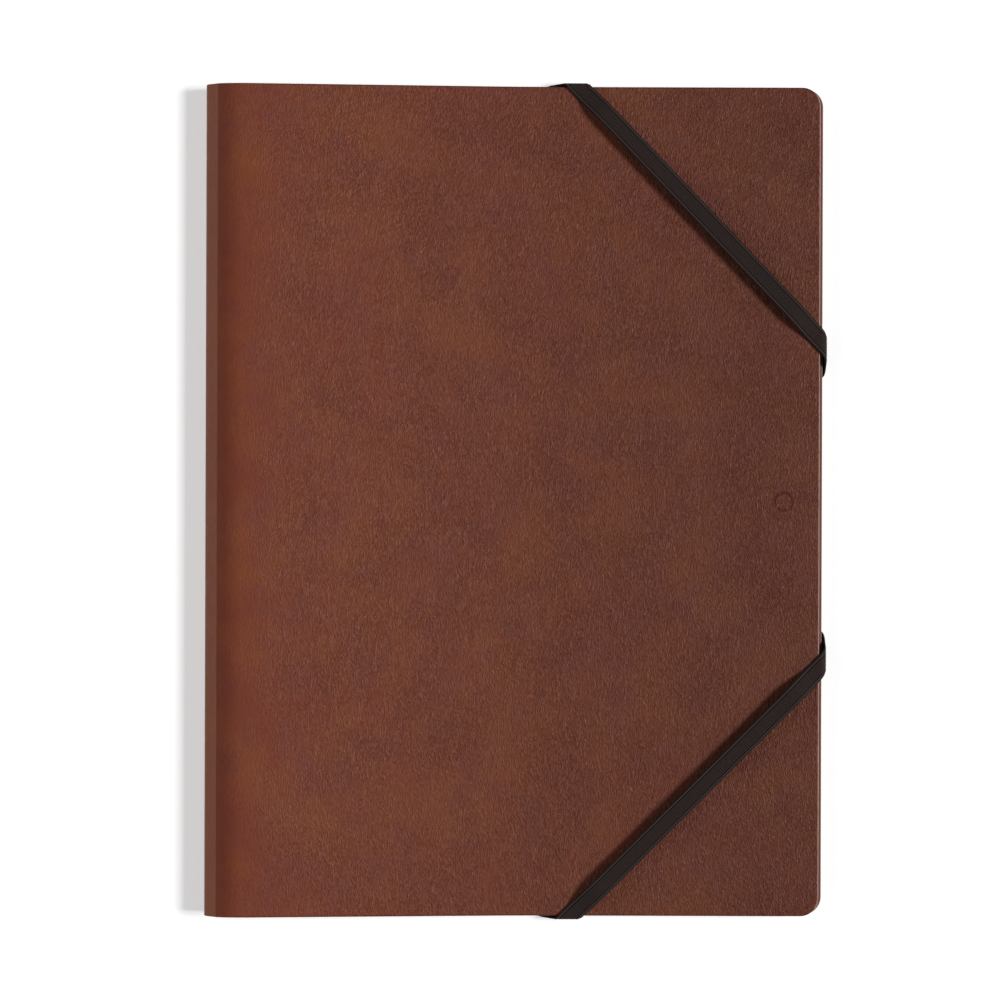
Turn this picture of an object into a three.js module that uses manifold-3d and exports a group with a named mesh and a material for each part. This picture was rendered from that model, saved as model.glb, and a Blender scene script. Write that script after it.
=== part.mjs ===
// Leather notebook cover, closed and held by two corner elastics.
// Millimetres, +Z up, +X from the spine to the fore-edge, +Y towards the top edge.
// The origin is in the middle of the base, under the elastics.
import * as THREE from "three";
import { mergeVertices } from "three/addons/utils/BufferGeometryUtils.js";
import Module from "manifold-3d";

const wasm = await Module();
wasm.setup();

// The closed cover
const HEIGHT = 315; // along the spine
const FRONT_WIDTH = 233.2; // from the spine's outer face to the front cover's cut edge
const BACK_WIDTH = 234.6; // the back cover stands out a little past the front one
const CORNER_RADIUS = 7;
const SHUT_GAP = 0.5; // between the two sleeves at the fore-edge

// The layers of a cover panel, from the outside in, and the glue line between two of them
const LEATHER = 1.1;
const BOARD = 0.7;
const LINING = 0.3;
const SLEEVE = 0.5;
const GLUE = 0.05;
const BOARD_DEPTH = LEATHER + GLUE;
const LINING_DEPTH = BOARD_DEPTH + BOARD + GLUE;
const SLEEVE_DEPTH = LINING_DEPTH + LINING + GLUE;

// The elastics
const STRAP_WIDTH = 7.1;
const STRAP = 1.0; // thickness
const STRAP_GAP = 0.05; // between a strap and the leather it lies on
const TURN_RADIUS = 0.5; // inner radius where a strap turns round an edge
const REAR_RUN = 13; // from the cover's edge to the slot, along the strap
const STRAP_TAIL = 1.8; // how deep a strap's end goes into its slot
const SLOT_CLEARANCE = 0.3;
const UPPER_REACH = [91.9, 95.8];
const LOWER_REACH = [94.3, 94.3];

// Heights above the floor
const BASE = STRAP + STRAP_GAP; // the back cover's outer face
const FORE_TOP = BASE + 2 * (SLEEVE_DEPTH + SLEEVE) + SHUT_GAP; // the front cover's outer face

// The front cover's outer face, seen from its end: a crease beside the spine, a rounded
// shoulder, a straight fall, and a gentle bend into the flat stretch under the elastics
const CREASE = 4.75; // how far the slanting folds reach in from the spine's outer face
const FOLD_RISE = 3.33; // the height of a slanting fold
const SHOULDER_MIDDLE = 11.4;
const SHOULDER_END = 18;
const SHOULDER_SLOPE = 0.14;
const BEND_START = 105;
const BEND_MIDDLE = 120;
const BEND_END = 135;
const FALL = 0.066; // slope of the straight fall
const SHOULDER_TOP = FORE_TOP + FALL * (BEND_MIDDLE - SHOULDER_MIDDLE);
const CREASE_TOP = SHOULDER_TOP - SHOULDER_SLOPE * (SHOULDER_MIDDLE - CREASE);
const CURVE_STEPS = 6;

// The boards stop short of the creases, so that the leather alone folds
const BOARD_START = 6.2;

// The sleeves that the notebook's own covers slide into
const SLEEVE_MOUTH = 165; // from the spine's outer face
const SLEEVE_INSET = 3;
const SLEEVE_POCKET = 0.2; // how far the middle of a sleeve stands off the lining
const SEAM_INSET = 2;
const THREAD_WIDTH = 0.5;
const THREAD = 0.18;
const THREAD_GAP = 0.02;

// A small blind-stamped ring on the front cover
const STAMP_FROM_EDGE = 13.8;
const STAMP_OUTER = 3.8;
const STAMP_INNER = 2.9;
const STAMP_DEPTH = 0.25;

const leatherBrown = new THREE.MeshStandardMaterial({ color: 0x6b3a2e, roughness: 0.55 });
const boardGrey = new THREE.MeshStandardMaterial({ color: 0x8a7e70, roughness: 0.95 });
const liningBrown = new THREE.MeshStandardMaterial({ color: 0x66433a, roughness: 0.75 });
const sleeveBrown = new THREE.MeshStandardMaterial({ color: 0x5c3327, roughness: 0.7 });
const threadBrown = new THREE.MeshStandardMaterial({ color: 0x2e1d17, roughness: 0.8 });
const elasticBlack = new THREE.MeshStandardMaterial({ color: 0x2b2422, roughness: 0.9 });

// A closed geometry as a solid that can be cut
function solid(geometry) {
  const bare = new THREE.BufferGeometry();
  bare.setAttribute("position", geometry.getAttribute("position"));
  bare.setIndex(geometry.index);
  const merged = mergeVertices(bare, 1e-4);
  const numProp = 3;
  const vertProperties = merged.getAttribute("position").array;
  const triVerts = new Uint32Array(merged.index.array);
  return new wasm.Manifold(new wasm.Mesh({ numProp, vertProperties, triVerts }));
}

function mesh(name, body, material) {
  const cut = body.getMesh();
  const geometry = new THREE.BufferGeometry();
  geometry.setAttribute("position", new THREE.BufferAttribute(cut.vertProperties, 3));
  geometry.setIndex(new THREE.BufferAttribute(cut.triVerts, 1));
  geometry.computeVertexNormals();
  const made = new THREE.Mesh(geometry, material);
  made.name = name;
  return made;
}

// A section in the X-Z plane, run the whole height of the cover
function run(points) {
  const shape = new THREE.Shape(points);
  const geometry = new THREE.ExtrudeGeometry(shape, { depth: HEIGHT, bevelEnabled: false });
  geometry.rotateX(Math.PI / 2).translate(0, HEIGHT / 2, 0);
  return solid(geometry);
}

// A panel's outline in the X-Y plane, square at the spine and round at the fore-edge
function outline(from, to, halfHeight, radius) {
  return new THREE.Shape()
    .moveTo(from, -halfHeight)
    .lineTo(to - radius, -halfHeight)
    .absarc(to - radius, radius - halfHeight, radius, -Math.PI / 2, 0)
    .lineTo(to, halfHeight - radius)
    .absarc(to - radius, halfHeight - radius, radius, 0, Math.PI / 2)
    .lineTo(from, halfHeight);
}

function plate(shape, bottom, top) {
  const settings = { depth: top - bottom, bevelEnabled: false, curveSegments: 10 };
  return solid(new THREE.ExtrudeGeometry(shape, settings).translate(0, 0, bottom));
}

// The front cover's outer face as points from the crease to past the fore-edge
function frontFace(depth) {
  const path = new THREE.Path().moveTo(CREASE, CREASE_TOP);
  const afterShoulder = SHOULDER_TOP - FALL * (SHOULDER_END - SHOULDER_MIDDLE);
  const beforeBend = FORE_TOP + FALL * (BEND_MIDDLE - BEND_START);
  path.quadraticCurveTo(SHOULDER_MIDDLE, SHOULDER_TOP, SHOULDER_END, afterShoulder);
  path.lineTo(BEND_START, beforeBend);
  path.quadraticCurveTo(BEND_MIDDLE, FORE_TOP, BEND_END, FORE_TOP);
  path.lineTo(BACK_WIDTH, FORE_TOP);
  return path.getPoints(CURVE_STEPS).map((p) => new THREE.Vector2(p.x, p.y - depth));
}

// One layer of the front cover, which follows the bent outer face
function frontLayer(shape, depth, thickness) {
  const layer = run([...frontFace(depth + thickness), ...frontFace(depth).reverse()]);
  return layer.intersect(plate(shape, 0, CREASE_TOP + FOLD_RISE));
}

// One layer of the flat back cover
function backLayer(shape, depth, thickness) {
  return plate(shape, BASE + depth, BASE + depth + thickness);
}

function frontOutline(from) {
  return outline(from, FRONT_WIDTH, HEIGHT / 2, CORNER_RADIUS);
}

function backOutline(from) {
  return outline(from, BACK_WIDTH, HEIGHT / 2, CORNER_RADIUS);
}

function sleeveOutline(width, inset, from) {
  return outline(from, width - inset, HEIGHT / 2 - inset, CORNER_RADIUS - inset);
}

function frontLeather() {
  const middle = FRONT_WIDTH - STAMP_FROM_EDGE;
  const ring = new THREE.Shape().absarc(middle, 0, STAMP_OUTER, 0, 2 * Math.PI);
  ring.holes.push(new THREE.Path().absarc(middle, 0, STAMP_INNER, 0, 2 * Math.PI));
  const stamp = plate(ring, FORE_TOP - STAMP_DEPTH, FORE_TOP + STAMP_DEPTH);
  return frontLayer(frontOutline(CREASE), 0, LEATHER).subtract(stamp);
}

// A sleeve's outer face is flat. Its underside is hollowed, open towards the spine, so that it
// touches the lining only along the three sewn edges.
function sleeve(width, bottom, pocketBottom) {
  const body = plate(sleeveOutline(width, SLEEVE_INSET, SLEEVE_MOUTH), bottom, bottom + SLEEVE);
  const seam = SLEEVE_INSET + 2 * SEAM_INSET;
  const pocket = sleeveOutline(width, seam, SLEEVE_MOUTH - seam);
  return body.subtract(plate(pocket, pocketBottom, pocketBottom + SLEEVE_POCKET + GLUE));
}

// The sewing thread along a sleeve's three closed edges
function seamThread(width, bottom) {
  const inset = SLEEVE_INSET + SEAM_INSET;
  const outer = sleeveOutline(width, inset, SLEEVE_MOUTH + SEAM_INSET);
  const inner = sleeveOutline(width, inset + THREAD_WIDTH, SLEEVE_MOUTH);
  return plate(outer, bottom, bottom + THREAD).subtract(plate(inner, 0, CREASE_TOP));
}

// The slanting folds between the spine and a cover. The band is measured inwards from the
// outer face, and "upper" picks the fold at the front cover or its mirror image at the back.
function fold(depth, thickness, upper) {
  const slope = FOLD_RISE / CREASE;
  const drop = (inwards) => inwards * Math.hypot(1, slope);
  const start = CREASE_TOP - FOLD_RISE;
  const right = CREASE - GLUE;
  const foot = (inwards) => (GLUE + drop(inwards)) / slope;
  const section = [
    new THREE.Vector2(foot(depth), start + GLUE),
    new THREE.Vector2(foot(depth + thickness), start + GLUE),
    new THREE.Vector2(right, start + slope * right - drop(depth + thickness)),
    new THREE.Vector2(right, start + slope * right - drop(depth)),
  ];
  const mirrored = section.map((p) => new THREE.Vector2(p.x, BASE + CREASE_TOP - p.y));
  return run(upper ? section : mirrored.reverse());
}

// One upright layer of the spine, between the two folds
function spineLayer(depth, thickness) {
  const bottom = BASE + FOLD_RISE;
  const top = CREASE_TOP - FOLD_RISE;
  const section = new THREE.Shape()
    .moveTo(depth, bottom)
    .lineTo(depth + thickness, bottom)
    .lineTo(depth + thickness, top)
    .lineTo(depth, top);
  return run(section.getPoints());
}

// Where a point of a flat strap lands when the strap wraps over an edge of the closed cover.
// "past" is measured outwards from the front cover's edge along the strap's middle layer and
// "lift" from the strap's inner face. The back cover's edge stands "ledge" further out.
function overEdge(past, lift, ledge) {
  const top = FORE_TOP + STRAP_GAP;
  const bottom = BASE - STRAP_GAP;
  const first = TURN_RADIUS + ledge;
  const firstTurn = (first + STRAP / 2) * (Math.PI / 2);
  const side = top - bottom - first - TURN_RADIUS;
  const lastTurn = (TURN_RADIUS + STRAP / 2) * (Math.PI / 2);
  if (past <= 0) return [past, top + lift];
  if (past <= firstTurn) {
    const turned = past / (first + STRAP / 2);
    return [Math.sin(turned) * (first + lift), top - first + Math.cos(turned) * (first + lift)];
  }
  if (past <= firstTurn + side) return [first + lift, top - first - (past - firstTurn)];
  if (past <= firstTurn + side + lastTurn) {
    const turned = (past - firstTurn - side) / (TURN_RADIUS + STRAP / 2);
    const reach = TURN_RADIUS + lift;
    return [ledge + Math.cos(turned) * reach, bottom + TURN_RADIUS - Math.sin(turned) * reach];
  }
  return [ledge - (past - firstTurn - side - lastTurn), bottom - lift];
}

// How much strap the wrap over an edge takes up, in a straight line across the edge
function wrapLength(ledge) {
  const turns = (2 * TURN_RADIUS + ledge + STRAP) * (Math.PI / 2);
  return turns + FORE_TOP - BASE + 2 * STRAP_GAP - 2 * TURN_RADIUS - ledge;
}

// A strap laid out flat across a corner. "corner" is 1 at the top and -1 at the bottom, and
// "reach" holds the two distances from the corner. The ends turn into slots in the back cover.
function strapLayout(corner, [alongTop, downSide]) {
  const ledge = BACK_WIDTH - FRONT_WIDTH;
  const span = Math.hypot(alongTop, downSide);
  const along = new THREE.Vector2(alongTop / span, (-corner * downSide) / span);
  const across = new THREE.Vector2(-along.y, along.x);
  const middle = new THREE.Vector2(
    FRONT_WIDTH - alongTop / 2,
    corner * (HEIGHT / 2 - downSide / 2),
  );
  const startRun = span / 2 + wrapLength(0) / Math.abs(along.y) + REAR_RUN;
  const endRun = span / 2 + wrapLength(ledge) / along.x + REAR_RUN;

  function place(s, t, lift) {
    const flat = middle.clone().addScaledVector(along, s).addScaledVector(across, t);
    const pastTop = corner * flat.y - HEIGHT / 2;
    if (pastTop > 0) {
      const [out, z] = overEdge(pastTop, lift, 0);
      return [flat.x, corner * (HEIGHT / 2 + out), z];
    }
    const [out, z] = overEdge(flat.x - FRONT_WIDTH, lift, ledge);
    return [FRONT_WIDTH + out, flat.y, z];
  }
  return { along, startRun, endRun, place };
}

// The bend at a strap's end: beyond "slot" the strap leaves its own plane and turns inwards
function turnIn(s, lift, slot) {
  const beyond = Math.abs(s) - slot;
  if (beyond <= 0) return [s, lift];
  const side = Math.sign(s);
  const turn = (TURN_RADIUS + STRAP / 2) * (Math.PI / 2);
  const angle = Math.min(beyond / (TURN_RADIUS + STRAP / 2), Math.PI / 2);
  const reach = TURN_RADIUS + lift;
  const straight = Math.max(0, beyond - turn);
  return [side * (slot + Math.sin(angle) * reach), Math.cos(angle) * reach - TURN_RADIUS - straight];
}

// Lengths along a strap at which it is divided: close together where it wraps and turns
function strapStations({ startRun, endRun }) {
  const fine = 0.8;
  const bent = 20.8;
  const turn = (TURN_RADIUS + STRAP / 2) * (Math.PI / 2);
  const tail = [0, 1 / 3, 2 / 3, 1].map((share) => share * turn);
  tail.push(turn + STRAP_TAIL - TURN_RADIUS);
  const wrap = Array.from({ length: Math.round(bent / fine) + 1 }, (_, i) => i * fine);
  const oneEnd = (slot) => {
    const inner = slot - REAR_RUN - bent + 0.55 * STRAP_WIDTH;
    return [...wrap.map((w) => inner + w), ...tail.map((t) => slot + t)];
  };
  return [...oneEnd(startRun).map((s) => -s).reverse(), ...oneEnd(endRun)];
}

function strap(layout) {
  const stations = strapStations(layout);
  const steps = stations.length - 1;
  const across = 7;
  const geometry = new THREE.BoxGeometry(steps, STRAP_WIDTH, STRAP, steps, across, 1);
  const position = geometry.getAttribute("position");
  for (let i = 0; i < position.count; i++) {
    const s = stations[Math.round(position.getX(i) + steps / 2)];
    const slot = s < 0 ? layout.startRun : layout.endRun;
    const [along, lift] = turnIn(s, position.getZ(i) + STRAP / 2, slot);
    position.setXYZ(i, ...layout.place(along, position.getY(i), lift));
  }
  return solid(geometry);
}

// The two slots that a strap's ends go through
function slots({ along, startRun, endRun, place }) {
  const length = TURN_RADIUS + STRAP + SLOT_CLEARANCE;
  const width = STRAP_WIDTH + 2 * SLOT_CLEARANCE;
  return [-startRun - length / 2, endRun + length / 2].map((s) => {
    const [x, y] = place(s, 0, 0);
    const box = new THREE.BoxGeometry(length, width, 2 * FORE_TOP);
    return solid(box.rotateZ(Math.atan2(along.y, -along.x) + Math.PI).translate(x, y, 0));
  });
}

const upperStrap = strapLayout(1, UPPER_REACH);
const lowerStrap = strapLayout(-1, LOWER_REACH);
const allSlots = [...slots(upperStrap), ...slots(lowerStrap)];
const cutSlots = (body) => allSlots.reduce((left, slot) => left.subtract(slot), body);

const backCover = new THREE.Group();
const backSleeveBottom = BASE + SLEEVE_DEPTH;
backCover.add(
  mesh("back_leather", cutSlots(backLayer(backOutline(CREASE), 0, LEATHER)), leatherBrown),
  mesh("back_board", cutSlots(backLayer(backOutline(BOARD_START), BOARD_DEPTH, BOARD)), boardGrey),
  mesh("back_lining", backLayer(backOutline(CREASE), LINING_DEPTH, LINING), liningBrown),
  mesh("back_sleeve", sleeve(BACK_WIDTH, backSleeveBottom, backSleeveBottom - GLUE), sleeveBrown),
  mesh("back_sleeve_seam", seamThread(BACK_WIDTH, backSleeveBottom + SLEEVE + THREAD_GAP), threadBrown),
  mesh("back_fold_leather", fold(0, LEATHER, false), leatherBrown),
  mesh("back_fold_lining", fold(BOARD_DEPTH + BOARD / 2, LINING, false), liningBrown),
);

const spine = new THREE.Group();
spine.add(
  mesh("spine_leather", spineLayer(0, LEATHER), leatherBrown),
  mesh("spine_board", spineLayer(BOARD_DEPTH, BOARD), boardGrey),
  mesh("spine_lining", spineLayer(LINING_DEPTH, LINING), liningBrown),
  mesh("front_fold_leather", fold(0, LEATHER, true), leatherBrown),
  mesh("front_fold_lining", fold(BOARD_DEPTH + BOARD / 2, LINING, true), liningBrown),
);

const frontCover = new THREE.Group();
const frontSleeveBottom = FORE_TOP - SLEEVE_DEPTH - SLEEVE;
frontCover.add(
  mesh("front_leather", frontLeather(), leatherBrown),
  mesh("front_board", frontLayer(frontOutline(BOARD_START), BOARD_DEPTH, BOARD), boardGrey),
  mesh("front_lining", frontLayer(frontOutline(CREASE), LINING_DEPTH, LINING), liningBrown),
  mesh(
    "front_sleeve",
    sleeve(FRONT_WIDTH, frontSleeveBottom, frontSleeveBottom + SLEEVE - SLEEVE_POCKET),
    sleeveBrown,
  ),
  mesh(
    "front_sleeve_seam",
    seamThread(FRONT_WIDTH, frontSleeveBottom - THREAD_GAP - THREAD),
    threadBrown,
  ),
);

const elastics = new THREE.Group();
elastics.add(
  mesh("elastic_upper", strap(upperStrap), elasticBlack),
  mesh("elastic_lower", strap(lowerStrap), elasticBlack),
);

const notebookCover = new THREE.Group();
notebookCover.add(backCover, spine, frontCover, elastics);
notebookCover.position.x = -(BACK_WIDTH + TURN_RADIUS + STRAP) / 2;

export default notebookCover;
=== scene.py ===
"""Looks for a closed leather notebook cover with two corner elastics."""

import math

import bpy
import numpy as np
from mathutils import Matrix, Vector


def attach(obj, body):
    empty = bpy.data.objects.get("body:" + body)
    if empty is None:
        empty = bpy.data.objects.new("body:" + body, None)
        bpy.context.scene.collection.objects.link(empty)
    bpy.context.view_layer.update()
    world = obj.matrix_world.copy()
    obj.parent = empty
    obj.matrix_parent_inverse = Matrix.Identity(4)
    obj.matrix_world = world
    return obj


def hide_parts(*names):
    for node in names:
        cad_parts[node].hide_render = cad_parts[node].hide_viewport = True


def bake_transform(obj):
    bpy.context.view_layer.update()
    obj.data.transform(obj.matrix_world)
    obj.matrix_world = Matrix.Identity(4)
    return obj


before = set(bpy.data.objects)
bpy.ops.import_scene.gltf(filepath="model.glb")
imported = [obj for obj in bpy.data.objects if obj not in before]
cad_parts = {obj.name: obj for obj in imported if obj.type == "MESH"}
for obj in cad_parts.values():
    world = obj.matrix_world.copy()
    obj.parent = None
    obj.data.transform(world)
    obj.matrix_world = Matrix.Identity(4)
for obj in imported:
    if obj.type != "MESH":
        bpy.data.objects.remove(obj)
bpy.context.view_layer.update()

MM = 0.001
ROW_SHIFT = -118.05  # mm, from section x (0 at the spine's outer face) to row x

# The cover's dimensions in mm, as in the CAD
HEIGHT = 315.0
FRONT_WIDTH = 233.2
BACK_WIDTH = 234.6
CORNER_RADIUS = 7.0
LEATHER = 1.1
LINING = 0.3
LINING_DEPTH = 1.9
SLEEVE = 0.5
BASE = 1.05
FORE_TOP = 7.05
MIDDLE = 7.1683  # height of the spine's middle
SHOULDER_TOP = 14.2176
CREASE = 4.75
CREASE_Z = 12.95
FALL = 0.066
SHOULDER_END = (18.0, SHOULDER_TOP - FALL * (18.0 - 11.4))
SPINE_HALF = 2.789  # from the spine's middle up and down to the corner before each fold
HIDE_ROUNDS = (0.38, 0.2)  # radii of a cut edge, outside and inside

SLEEVE_MOUTH = 165.0
SLEEVE_INSET = 3.0
SLEEVE_GAP = 0.05
SEAM_INSET = 2.0

STRAP = 1.0
STRAP_WIDTH = 7.1
STRAP_GAP = 0.05
TURN_RADIUS = 0.5
REAR_RUN = 13.0
STRAP_TAIL = 1.8
STAND_OFF = 2.9  # how far the taut strap stands off the leather
STAND_RAMP = 14.0  # the length over which it gets there
RIB_PITCH = 0.76
THREAD_PITCH = 0.70

STAMP_AT = FRONT_WIDTH - 13.8
STAMP_OUTER = 3.8
STAMP_INNER = 2.9
STAMP_DEPTH = 0.22


# ---------------------------------------------------------------- camera, light, floor
def add_camera():
    data = bpy.data.cameras.new("camera")
    data.sensor_width = 36.0
    data.lens = 88.1
    data.clip_start = 0.01
    camera = bpy.data.objects.new("camera", data)
    camera.location = (-6.3 * MM, 0.4 * MM, 937 * MM)
    camera.rotation_euler = (0.0, 0.0, math.radians(0.18))
    bpy.context.scene.collection.objects.link(camera)
    bpy.context.scene.camera = camera


def add_area(name, location, target, size, power):
    data = bpy.data.lights.new(name, "AREA")
    data.shape = "RECTANGLE"
    data.size, data.size_y = size
    data.energy = power
    lamp = bpy.data.objects.new(name, data)
    lamp.location = location
    direction = Vector(target) - Vector(location)
    lamp.rotation_euler = direction.to_track_quat("-Z", "Y").to_euler()
    lamp.visible_camera = False
    bpy.context.scene.collection.objects.link(lamp)


def add_light():
    scene = bpy.context.scene
    scene.view_settings.view_transform = "Standard"
    scene.view_settings.look = "None"
    world = bpy.data.worlds.new("studio")
    scene.world = world
    world.use_nodes = True
    back = world.node_tree.nodes["Background"]
    back.inputs["Color"].default_value = (1.0, 1.0, 1.0, 1.0)
    back.inputs["Strength"].default_value = 0.10
    # the key stands on the right, and a long fill close by on the left
    add_area("key", (2.95, 0.05, 2.61), (0.0, 0.0, 0.0), (1.1, 1.1), 160.0)
    add_area("fill", (-0.45, 0.0, 0.35), (-0.118, 0.0, 0.0), (1.4, 0.25), 1.95)


def add_floor():
    size = 12.0
    mesh = bpy.data.meshes.new("floor")
    mesh.from_pydata(
        [(-size, -size, 0), (size, -size, 0), (size, size, 0), (-size, size, 0)],
        [],
        [(0, 1, 2, 3)],
    )
    floor = bpy.data.objects.new("floor", mesh)
    bpy.context.scene.collection.objects.link(floor)
    material = bpy.data.materials.new("floor")
    material.use_nodes = True
    shader = material.node_tree.nodes["Principled BSDF"]
    shader.inputs["Base Color"].default_value = (0.85, 0.85, 0.85, 1.0)
    shader.inputs["Emission Color"].default_value = (1.0, 1.0, 1.0, 1.0)
    shader.inputs["Emission Strength"].default_value = 0.285
    shader.inputs["Roughness"].default_value = 0.9
    shader.inputs["Specular IOR Level"].default_value = 0.1
    floor.data.materials.append(material)


# ---------------------------------------------------------------- materials
class Nodes:
    """A short way to write a material's node tree."""

    def __init__(self, name):
        self.material = bpy.data.materials.new(name)
        self.material.use_nodes = True
        self.tree = self.material.node_tree
        self.shader = self.tree.nodes["Principled BSDF"]

    def add(self, kind, inputs=None, **settings):
        node = self.tree.nodes.new(kind)
        for key, value in settings.items():
            setattr(node, key, value)
        for key, value in (inputs or {}).items():
            self.put(node.inputs[key], value)
        return node

    def put(self, socket, value):
        if isinstance(value, bpy.types.NodeSocket):
            self.tree.links.new(value, socket)
        elif isinstance(value, bpy.types.Node):
            self.tree.links.new(value.outputs[0], socket)
        else:
            socket.default_value = value

    def math(self, operation, a, b=0.0, c=0.0):
        return self.add("ShaderNodeMath", {0: a, 1: b, 2: c}, operation=operation).outputs[0]

    def ramp(self, value, low, high, to_low=0.0, to_high=1.0, smooth=True):
        ends = {"From Min": low, "From Max": high, "To Min": to_low, "To Max": to_high}
        return self.add(
            "ShaderNodeMapRange",
            {"Value": value, **ends},
            interpolation_type="SMOOTHSTEP" if smooth else "LINEAR",
        ).outputs[0]

    def mix(self, share, a, b):
        node = self.add("ShaderNodeMix", data_type="RGBA", clamp_factor=True)
        self.put(node.inputs[0], share)
        self.put(node.inputs[6], a)
        self.put(node.inputs[7], b)
        return node.outputs[2]

    def surface_mm(self, turn=0.0, stretch=(1.0, 1.0)):
        """The unrolled surface coordinates in mm, turned and stretched."""
        uv = self.add("ShaderNodeUVMap", uv_map="UVMap")
        return self.add(
            "ShaderNodeMapping",
            {
                "Vector": uv.outputs[0],
                "Rotation": (0.0, 0.0, turn),
                "Scale": (1000.0 * stretch[0], 1000.0 * stretch[1], 1.0),
            },
            vector_type="POINT",
        ).outputs[0]

    def noise(self, vector, scale, detail=2.0, roughness=0.5, distortion=0.0):
        return self.add(
            "ShaderNodeTexNoise",
            {
                "Vector": vector,
                "Scale": scale,
                "Detail": detail,
                "Roughness": roughness,
                "Distortion": distortion,
            },
        ).outputs[0]

    def cell_edges(self, vector, scale):
        return self.add(
            "ShaderNodeTexVoronoi", {"Vector": vector, "Scale": scale}, feature="DISTANCE_TO_EDGE"
        ).outputs[0]

    def bump(self, height, distance, strength):
        return self.add(
            "ShaderNodeBump", {"Height": height, "Distance": distance, "Strength": strength}
        ).outputs[0]

    def set(self, **sockets):
        names = {
            "color": "Base Color",
            "roughness": "Roughness",
            "normal": "Normal",
            "sheen": "Sheen Weight",
            "sheen_roughness": "Sheen Roughness",
            "specular": "Specular IOR Level",
        }
        for key, value in sockets.items():
            self.put(self.shader.inputs[names[key]], value)
        return self.material


def warped(n, vector, scale, amount):
    """The coordinates pushed about by a slow noise, so that nothing repeats in rows."""
    push = n.add("ShaderNodeTexNoise", {"Vector": vector, "Scale": scale, "Detail": 1.0})
    centred = n.add(
        "ShaderNodeVectorMath", {0: push.outputs["Color"], 1: (0.5, 0.5, 0.5)}, operation="SUBTRACT"
    )
    scaled = n.add(
        "ShaderNodeVectorMath", {0: centred.outputs[0], "Scale": amount}, operation="SCALE"
    )
    return n.add(
        "ShaderNodeVectorMath", {0: vector, 1: scaled.outputs[0]}, operation="ADD"
    ).outputs[0]


def leather_material(name, tint):
    """Grained hide: crests and pebbles, mottled colour, and three masks painted on the mesh: the
    cut edge, painted shade and painted sheen.
    """
    n = Nodes(name)
    flat = n.surface_mm()
    # Grain drawn out along the cover's height and leaning a little: thin wavy crests over
    # low pebbles
    along = warped(n, n.surface_mm(turn=math.radians(-7), stretch=(1.0, 0.34)), 0.30, 1.7)
    across = warped(n, n.surface_mm(turn=math.radians(9), stretch=(1.0, 0.38)), 0.42, 1.3)

    def crests(vector, scale, low, high):
        wave = n.noise(vector, scale, 1.5, 0.45)
        swing = n.math("ABSOLUTE", n.math("MULTIPLY_ADD", wave, 2.0, -1.0))
        ridge = n.math("SUBTRACT", 1.0, swing)
        return n.ramp(ridge, low, high)

    bold = crests(along, 0.84, 0.80, 1.0)
    light = crests(across, 1.35, 0.76, 1.0)
    pebbles = n.ramp(n.cell_edges(along, 1.40), 0.0, 0.30)
    fine = n.noise(flat, 4.5, 3.0, 0.6)
    # The grain is finer and flatter near the spine, and comes and goes over the rest
    u = n.add("ShaderNodeSeparateXYZ", {0: flat}).outputs[0]
    away = n.ramp(n.math("ABSOLUTE", u), 16.0, 48.0, 0.30, 1.0)
    patches = n.ramp(n.noise(flat, 0.04, 2.0, 0.5), 0.3, 0.7, 0.6, 1.2)
    depth = n.math("MULTIPLY", away, patches)
    height = n.math("MULTIPLY_ADD", pebbles, 0.30, n.math("MULTIPLY", light, 0.38))
    height = n.math("MULTIPLY_ADD", bold, 0.62, height)
    height = n.math("MULTIPLY", height, depth)
    height = n.math("MULTIPLY_ADD", fine, 0.14, height)

    # Slow changes of hue over the hide, lighter crests and darker grooves
    slow = n.noise(flat, 0.022, 4.0, 0.6)
    patch = n.noise(flat, 0.060, 4.0, 0.65, 0.4)
    red, orange, plum, pale, deep, shade_paint_color, sheen_paint_color, raw_edge_and_highlight_color = tint
    color = n.mix(n.ramp(slow, 0.38, 0.62), red, orange)
    color = n.mix(n.ramp(patch, 0.42, 0.66, 0.0, 0.85), color, plum)
    crest = n.math("MULTIPLY", n.math("MAXIMUM", bold, n.math("MULTIPLY", light, 0.7)), depth)
    color = n.mix(n.math("MULTIPLY", crest, 0.36), color, pale)
    groove = n.math("MULTIPLY", n.math("SUBTRACT", 1.0, pebbles), depth)
    color = n.mix(n.math("MULTIPLY", groove, 0.30), color, deep)
    # Painted shade: the hide is darkened towards the front cover's fore-edge, for the light that
    # falls off across the cover
    shade = n.ramp(u, 60.0, 215.0, 0.0, 0.30, smooth=False)
    color = n.mix(shade, color, (0.0, 0.0, 0.0, 1.0))

    # Painted shade where the cover bends beside the spine, on the top and bottom rims and in the
    # ring stamp; painted sheen, lighter and greyer, on the fold itself
    def mask(attribute):
        return n.add("ShaderNodeAttribute", attribute_name=attribute).outputs["Fac"]

    mottled = n.ramp(n.noise(flat, 0.12, 4.0, 0.6), 0.3, 0.7, 0.8, 1.0)
    # painted shade and painted sheen, mixed into the hide's colour by their masks
    painted_tones = (("painted_shade", 0.66, shade_paint_color), ("painted_sheen", 0.85, sheen_paint_color))
    for attribute, strength, tone in painted_tones:
        share = n.math("MULTIPLY", mask(attribute), n.math("MULTIPLY", mottled, strength))
        color = n.mix(share, color, tone)
    # Raw fibre shows on the cut edge; the hide gets it only along the fore-edge, paler there as a
    # painted highlight
    edge = mask("cut_edge")
    fibre = n.mix(n.noise(flat, 3.0, 3.0, 0.7), raw_edge_and_highlight_color, (0.26, 0.14, 0.10, 1.0))
    color = n.mix(edge, color, fibre)
    rough = n.ramp(n.noise(flat, 0.6, 3.0, 0.6), 0.25, 0.75, 0.38, 0.52)
    rough = n.math("MULTIPLY_ADD", edge, 0.3, rough)
    return n.set(
        color=color,
        roughness=rough,
        specular=0.16,
        normal=n.bump(height, 0.00030, 0.9),
    )


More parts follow.
